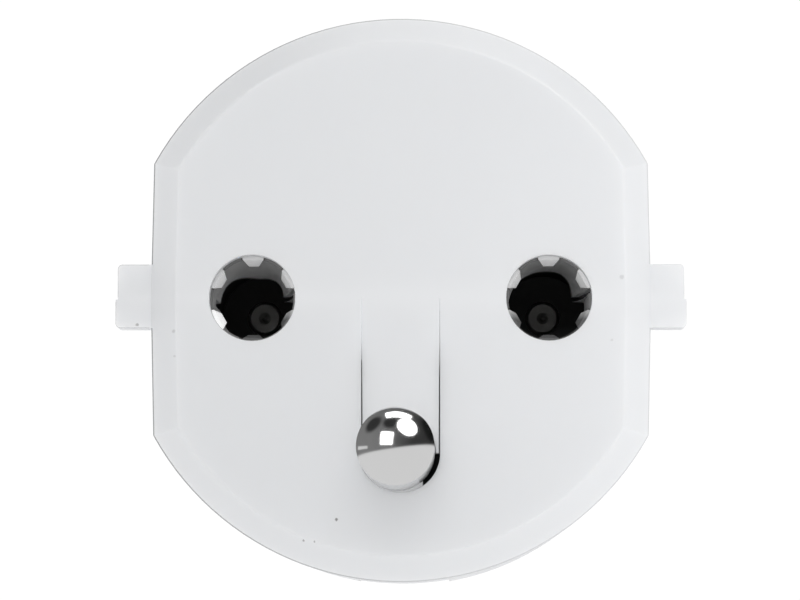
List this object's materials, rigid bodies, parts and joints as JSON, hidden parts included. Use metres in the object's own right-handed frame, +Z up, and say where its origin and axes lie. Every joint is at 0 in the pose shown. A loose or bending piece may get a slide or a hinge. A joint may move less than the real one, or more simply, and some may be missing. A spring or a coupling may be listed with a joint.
{
  "type": "plug adapter",
  "caption": "Round plug adapter core with flat sides: an earthed French-type socket face in front and a two-pin earthed plug behind.",
  "frame": {"origin": "middle of the socket face, midway between the two holes", "axes": "+X to the right seen from the socket side, +Y from the socket face towards the plug pins, +Z up, away from the earth pin"},
  "size_m": [0.0366, 0.065, 0.0362],
  "materials": {
    "milky_plastic": "satin",
    "contact_sheet": "satin",
    "plated_pin": "polished",
    "strap_metal": "satin"
  },
  "bodies": {
    "root": {"upper_shell": "milky_plastic", "lower_shell": "milky_plastic", "live_contact": "contact_sheet", "neutral_contact": "contact_sheet", "live_pin": "plated_pin", "neutral_pin": "plated_pin", "earth_pin": "plated_pin", "earth_strap": "strap_metal", "earth_sleeve": "strap_metal"}
  },
  "joints": []
}
